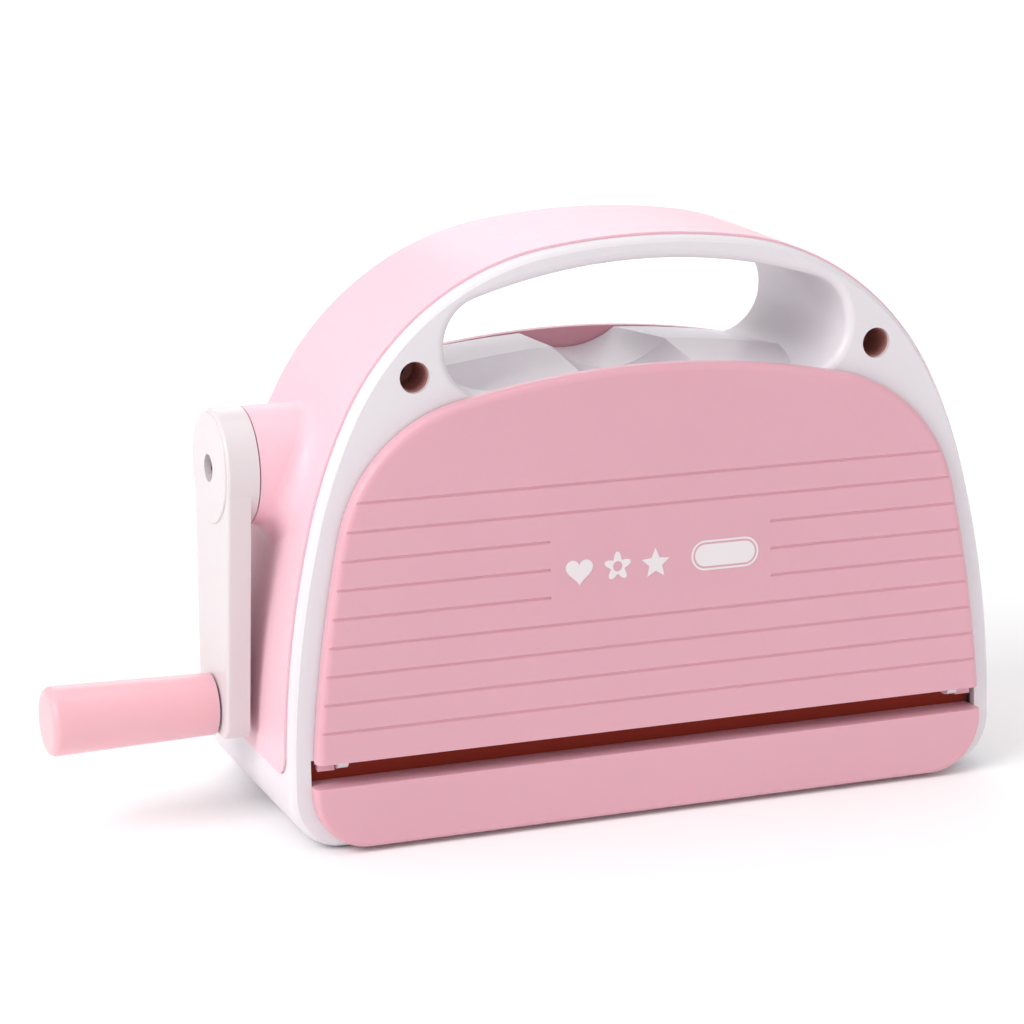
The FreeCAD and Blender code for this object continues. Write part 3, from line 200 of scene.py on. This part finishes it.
M_RUBBER = rubber("foot_rubber", (0.055, 0.05, 0.052))
by_slot = {"white_shell": M_WHITE, "pink_cover": M_COVER, "pink_panel": M_PANEL, "zinc_steel": M_ZINC,
           "black_steel": M_BLACK, "bearing": M_BUSH, "pin_steel": M_PIN, "roller_steel": M_ROLLER,
           "gear_metal": M_GEAR, "white_arm": M_ARM, "pink_grip": M_GRIP, "foot_rubber": M_RUBBER}
slot_of = {s["node"]: s["material_slot"] for s in frame["record"]["subparts"]}
for name, node in frame["nodes"].items():
    mat = M_BED_PAINTED_SHADE if name == "feed_bed" else by_slot[slot_of[name]]
    if not node.material_slots:
        node.data.materials.append(mat)
    for slot in node.material_slots:
        slot.material = mat

M_PRINT = plastic("white_print", (0.82, 0.76, 0.785), rough=0.5, sss=0.0, coat=0.0)
# The posts' dark brown-pink is painted shade on pink plastic deep in the screw holes.
M_SLEEVE_PAINTED_SHADE = plastic("pink_post_painted_shade", (0.42, 0.17, 0.15), rough=0.5, sss=0.05, coat=0.0)


# ------------------------------------------------------------------ added pieces
def add_mesh(name, verts, faces, mat, body):
    """New piece from vertices in metres, riding on a body, with the given material."""
    me = bpy.data.meshes.new(name)
    me.from_pydata([tuple(v) for v in verts], [], faces)
    me.materials.append(mat)
    me.validate()
    b = bmesh.new()
    b.from_mesh(me)
    bmesh.ops.recalc_face_normals(b, faces=b.faces)
    b.to_mesh(me)
    b.free()
    o = bpy.data.objects.new(name, me)
    bpy.context.scene.collection.objects.link(o)
    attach(o, body)
    return o


PRINT_LIFT, PRINT_SINK = 0.07, 0.05      # how far the ink stands out of the table and reaches into it


def printed(name, loops, cx, cz):
    """Thin ink shape on the leaning face of the front table: loops are (outer, inner or None) in mm."""
    verts, faces = [], []
    for outer, inner in loops:
        n = len(outer)
        back, front = len(verts), len(verts) + n
        for outline in [outer] + ([inner] if inner else []):
            for depth in (PRINT_SINK, -PRINT_LIFT):
                for x, z in outline:
                    verts.append(((cx + x) * MM, (front_y(cz + z) + depth) * MM, (cz + z) * MM))
        if inner:
            back_in, front_in = back + 2 * n, back + 3 * n
            for i in range(n):
                j = (i + 1) % n
                faces += [(front + i, front + j, front_in + j, front_in + i),
                          (back + i, back_in + i, back_in + j, back + j),
                          (back + i, back + j, front + j, front + i),
                          (back_in + i, front_in + i, front_in + j, back_in + j)]
        else:
            faces += [tuple(range(front, front + n)), tuple(range(front - 1, back - 1, -1))]
            faces += [(back + i, back + (i + 1) % n, front + (i + 1) % n, front + i) for i in range(n)]
    return add_mesh(name, verts, faces, M_PRINT, "front_table")


def heart(size, n=48):
    """Outline of the usual heart curve, which is 32 units wide."""
    pts = []
    for i in range(n):
        t = 2 * math.pi * i / n
        x = 16 * math.sin(t) ** 3
        z = 13 * math.cos(t) - 5 * math.cos(2 * t) - 2 * math.cos(3 * t) - math.cos(4 * t)
        pts.append((x * size / 32, z * size / 32))
    return pts


def star(size, points=5, inner=0.46):
    """Star with its first point up."""
    pts = []
    for i in range(points * 2):
        t = math.pi / 2 + math.pi * i / points
        r = size / 2 * (1.0 if i % 2 == 0 else inner)
        pts.append((r * math.cos(t), r * math.sin(t)))
    return pts


def bloom(size, petals=5, n=60):
    """Flower with round petals, the first one up."""
    pts = []
    for i in range(n):
        t = 2 * math.pi * i / n
        r = size / 2 * (0.76 + 0.24 * math.cos(petals * (t - math.pi / 2)))
        pts.append((r * math.cos(t), r * math.sin(t)))
    return pts


def disc(r, n=60):
    """Circle with as many points as a bloom."""
    return [(r * math.cos(2 * math.pi * i / n), r * math.sin(2 * math.pi * i / n)) for i in range(n)]


def pill(w, h, n=14):
    """Bar with round ends."""
    r, pts = h / 2, []
    for c, a0 in ((w / 2 - r, -math.pi / 2), (-(w / 2 - r), math.pi / 2)):
        for i in range(n + 1):
            t = a0 + math.pi * i / n
            pts.append((c + r * math.cos(t), r * math.sin(t)))
    return pts


# Ink shapes in the plain field between the grooves: outlines and centres in mm
printed("print_heart", [(heart(8.6), None)], -26.0, 76.4)
printed("print_bloom", [(bloom(8.8), disc(1.5))], -13.8, 76.6)
printed("print_star", [(star(9.4), None)], -1.6, 76.3)
printed("print_pill", [(pill(22.0, 9.0), pill(20.8, 7.8)), (pill(19.6, 6.6), None)], 21.0, 77.2)


def lathe(name, profile, centre, axis, mat, body, n=48, ring=False):
    """Turned piece: profile is (distance along axis, radius) in mm from centre; a ring has a bore."""
    verts, faces = [], []
    ax = Vector(axis).normalized()
    u = Vector((0, 0, 1))
    v = ax.cross(u)
    for d, r in profile:
        for k in range(n):
            t = 2 * math.pi * k / n
            verts.append((Vector(centre) + ax * d + (u * math.cos(t) + v * math.sin(t)) * r) * MM)
    m = len(profile)
    for i in range(m if ring else m - 1):
        j = (i + 1) % m
        for k in range(n):
            faces.append((i * n + k, i * n + (k + 1) % n, j * n + (k + 1) % n, j * n + k))
    if not ring:
        faces.append(tuple(range(n - 1, -1, -1)))
        faces.append(tuple(range((m - 1) * n, m * n)))
    return add_mesh(name, verts, faces, mat, body)


HEAD_DOME = [(0.0, 0.985), (0.35, 1.0), (0.62, 0.95), (0.86, 0.78), (0.97, 0.5), (1.0, 0.2)]
STEM_SHARE = 0.42        # stem radius as a share of the head's
CROSS_TURN = 0.5         # how far the cross is turned from upright, in radians


def cross_screw(name, node, centre, axis, rad, high, tail):
    """Black screw with a domed head and a real cross recess, standing for the frame's plain one."""
    stem = [(-tail, STEM_SHARE * rad), (0.0, STEM_SHARE * rad)]
    dome = [(high * h, rad * r) for h, r in HEAD_DOME]
    screw = lathe(name, stem + dome, centre, axis, M_BLACK, "crank")
    ax = Vector(axis).normalized()
    place = Matrix.Translation((Vector(centre) + ax * (high * 0.75)) * MM)
    place = place @ Vector((0, 0, 1)).rotation_difference(ax).to_matrix().to_4x4()
    bar = Matrix.Diagonal((rad * 1.15 * MM, rad * 0.27 * MM, high * 0.9 * MM, 1.0))
    cross = bmesh.new()
    for turn in (CROSS_TURN, CROSS_TURN + math.pi / 2):
        bmesh.ops.create_cube(cross, size=1.0, matrix=place @ Matrix.Rotation(turn, 4, "Z") @ bar)
    cross_mesh = bpy.data.meshes.new(name + "_cut")
    cross.to_mesh(cross_mesh)
    cross.free()
    cutter = bpy.data.objects.new(name + "_cut", cross_mesh)
    bpy.context.scene.collection.objects.link(cutter)
    mod = screw.modifiers.new("cross", "BOOLEAN")
    mod.object = cutter
    mod.operation = "DIFFERENCE"
    mod.solver = "EXACT"
    mod.use_self = True
    dg = bpy.context.evaluated_depsgraph_get()
    cut_mesh = bpy.data.meshes.new_from_object(screw.evaluated_get(dg))
    screw.modifiers.clear()
    screw.data = cut_mesh
    bpy.data.objects.remove(cutter)
    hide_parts(node)


HEAD_RAD, HEAD_HIGH, TAIL = 3.25, 1.9, 1.0
cross_screw("crank_screw_head", "crank_screw", (SCREW_SEAT_X, 0.0, CRANK_Z), (-1, 0, 0),
            HEAD_RAD, HEAD_HIGH, TAIL)

# Tubes seen down the two front screw holes, pink plastic painted dark brown-pink as painted shade deep in
# the holes: a sleeve with a floor and a small bore
POST_OUT, POST_IN, POST_BORE = 4.58, 4.0, 1.7
POST_FLOOR, POST_END, POST_START = 11.5, 12.3, 1.6
post = [(0.0, POST_OUT), (0.0, 4.25), (0.3, 4.15), (POST_FLOOR, POST_IN), (POST_FLOOR, POST_BORE),
        (POST_END, POST_BORE), (POST_END, POST_OUT)]
for side, tag in ((-1, "left"), (1, "right")):
    start_y = front_y(SCREW_HOLE_Z, FACE_INSET) + POST_START
    lathe("screw_post_" + tag, post, (SCREW_HOLE_X * side, start_y, SCREW_HOLE_Z), (0, 1, 0),
          M_SLEEVE_PAINTED_SHADE, "root", ring=True)

# ------------------------------------------------------------------ camera
FOCAL = 3.16367          # focal length as a share of the picture's width
SENSOR = 36.0
PITCH, YAW, ROLL = math.radians(14.839), math.radians(22.228), math.radians(-0.650)
EYE = Vector((-387.6, -873.5, 334.3)) * MM

cam_data = bpy.data.cameras.new("camera")
cam = bpy.data.objects.new("camera", cam_data)
bpy.context.scene.collection.objects.link(cam)
ahead = Vector((math.sin(YAW) * math.cos(PITCH), math.cos(YAW) * math.cos(PITCH), -math.sin(PITCH)))
level = Vector((math.cos(YAW), -math.sin(YAW), 0.0))
below = ahead.cross(level)
right = math.cos(ROLL) * level + math.sin(ROLL) * below
down = -math.sin(ROLL) * level + math.cos(ROLL) * below
turn = Matrix((right, -down, -ahead)).transposed()
cam.matrix_world = Matrix.Translation(EYE) @ turn.to_4x4()
cam_data.sensor_width = SENSOR
cam_data.lens = FOCAL * SENSOR
cam_data.clip_start = 0.02
cam_data.clip_end = 50.0
bpy.context.scene.camera = cam


# ------------------------------------------------------------------ lights, world and floor
def area(name, loc, target, size, power, color=(1, 1, 1)):
    """Square softbox at loc, in metres, that faces target."""
    d = bpy.data.lights.new(name, "AREA")
    d.energy = power
    d.color = color
    d.size = size
    o = bpy.data.objects.new(name, d)
    bpy.context.scene.collection.objects.link(o)
    o.location = loc
    o.rotation_euler = (Vector(target) - Vector(loc)).to_track_quat("-Z", "Y").to_euler()
    return d


BODY = (0, 0, 0.08)      # the middle of the body, which the front lights face
area("key", (-1.6, -0.5, 1.3), BODY, 1.1, 23.0, (1.0, 0.99, 0.985))
area("fill", (1.2, -1.6, 0.7), BODY, 1.2, 1.6, (0.98, 0.98, 1.0))
area("top", (-0.1, 0.1, 1.8), (0, 0, 0.1), 1.5, 7.6)
area("back", (0.55, 1.5, 0.85), (0.03, 0, 0.14), 0.9, 3.6, (1, 0.99, 1))
# Lights the floor behind the body only, so that the far floor is as white as the near one
sweep = area("sweep", (0.8, 2.6, 1.5), (0.8, 2.6, 0.0), 2.6, 70)
sweep.spread = math.radians(70)

WORLD_LIGHT = 0.64
world = bpy.data.worlds.new("studio")
world.use_nodes = True
background = world.node_tree.nodes["Background"]
background.inputs["Color"].default_value = (1, 1, 1, 1)
background.inputs["Strength"].default_value = WORLD_LIGHT
bpy.context.scene.world = world
bpy.context.scene.view_settings.view_transform = "Standard"

FLOOR_HALF = 6.0
PAPER_DARK, PAPER_PALE = (0.955, 0.955, 0.96), (0.97, 0.97, 0.975)
bm = bmesh.new()
bmesh.ops.create_grid(bm, x_segments=2, y_segments=2, size=FLOOR_HALF)
floor_mesh = bpy.data.meshes.new("floor")
bm.to_mesh(floor_mesh)
bm.free()
floor = bpy.data.objects.new("floor", floor_mesh)
bpy.context.scene.collection.objects.link(floor)
paper, nt, shader = new_mat("floor_paper")
tint = ramp(nt, noise(nt, coords(nt), 3.0), [(0.3, PAPER_DARK), (0.7, PAPER_PALE)])
nt.links.new(tint, shader.inputs["Base Color"])
shader.inputs["Roughness"].default_value = 0.8
floor_mesh.materials.append(paper)
